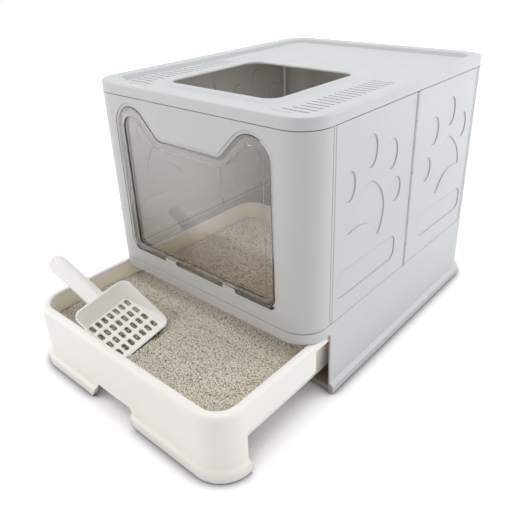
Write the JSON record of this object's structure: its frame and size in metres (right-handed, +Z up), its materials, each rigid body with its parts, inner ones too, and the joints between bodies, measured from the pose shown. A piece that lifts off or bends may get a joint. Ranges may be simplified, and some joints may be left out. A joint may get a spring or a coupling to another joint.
{
  "type": "drawer litter box",
  "caption": "Enclosed cat litter box with a pull-out litter drawer, folding walls, a clear cat-ear door, a slotted lift-off lid with a top opening and a scoop.",
  "frame": {"origin": "on the floor under the centre of the housing's footprint", "axes": "+Z up, +X to the right and -Y towards the front, where the door is and the drawer pulls out"},
  "size_m": [0.422, 0.684, 0.414],
  "materials": {
    "housing": "satin moulded plastic, cool light grey",
    "cream": "satin moulded plastic, warm white",
    "clear": "glossy smoke-tinted clear plastic",
    "litter": "beige-grey granules",
    "steel": "drawn wire"
  },
  "bodies": {
    "base": {"base_housing": "housing"},
    "drawer": {"drawer": "cream", "litter_bed": "litter"},
    "scoop": {"scoop": "cream"},
    "rear_wall": {"rear_wall": "housing", "rear_left_hinge_pin": "steel", "rear_right_hinge_pin": "steel"},
    "front_wall": {"front_wall": "housing", "front_left_hinge_pin": "steel", "front_right_hinge_pin": "steel"},
    "left_rear_panel": {"left_rear_panel": "housing", "mid_left_hinge_pin": "steel"},
    "left_front_panel": {"left_front_panel": "housing"},
    "right_rear_panel": {"right_rear_panel": "housing", "mid_right_hinge_pin": "steel"},
    "right_front_panel": {"right_front_panel": "housing"},
    "door": {"door": "clear", "door_hinge_pin_left": "steel", "door_hinge_pin_right": "steel"},
    "lid": {"lid": "housing"}
  },
  "joints": [
    {"name": "drawer_slide", "type": "slide", "parent": "base", "child": "drawer", "axis": [0, -1, 0], "range_m": [-0.168, 0]},
    {"name": "scoop_lift", "type": "slide", "parent": "base", "child": "scoop", "axis": [0, 0.116, 0.9932], "range_m": [0, 0.51]},
    {"name": "walls_lift", "type": "slide", "parent": "base", "child": "rear_wall", "axis": [0, 0, 1], "range_m": [0, 0.2]},
    {"name": "walls_fold", "type": "hinge", "parent": "rear_wall", "child": "left_rear_panel", "pos_m": [-0.2006, 0.206, 0.26], "axis": [0, 0, 1], "range_deg": [0, 74]},
    {"name": "left_middle_hinge", "type": "hinge", "parent": "left_rear_panel", "child": "left_front_panel", "pos_m": [-0.2045, 0, 0.26], "axis": [0, 0, 1], "range_deg": [-148, 0]},
    {"name": "front_left_hinge", "type": "hinge", "parent": "left_front_panel", "child": "front_wall", "pos_m": [-0.2006, -0.206, 0.26], "axis": [0, 0, 1], "range_deg": [0, 74]},
    {"name": "rear_right_hinge", "type": "hinge", "parent": "rear_wall", "child": "right_rear_panel", "pos_m": [0.2006, 0.206, 0.26], "axis": [0, 0, 1], "range_deg": [-74, 0]},
    {"name": "right_middle_hinge", "type": "hinge", "parent": "right_rear_panel", "child": "right_front_panel", "pos_m": [0.2045, 0, 0.26], "axis": [0, 0, 1], "range_deg": [0, 148]},
    {"name": "door_swing", "type": "hinge", "parent": "front_wall", "child": "door", "pos_m": [0, -0.2505, 0.148], "axis": [1, 0, 0], "range_deg": [0, 85]},
    {"name": "lid_lift", "type": "slide", "parent": "rear_wall", "child": "lid", "axis": [0, 0, 1], "range_m": [0, 0.15]}
  ],
  "couplings": [
    {"joint": "left_middle_hinge", "follows": "walls_fold", "ratio": -2},
    {"joint": "front_left_hinge", "follows": "walls_fold", "ratio": 1},
    {"joint": "rear_right_hinge", "follows": "walls_fold", "ratio": -1},
    {"joint": "right_middle_hinge", "follows": "walls_fold", "ratio": 2},
    {"joint": "scoop_lift", "follows": "drawer_slide", "ratio": -3.02}
  ]
}
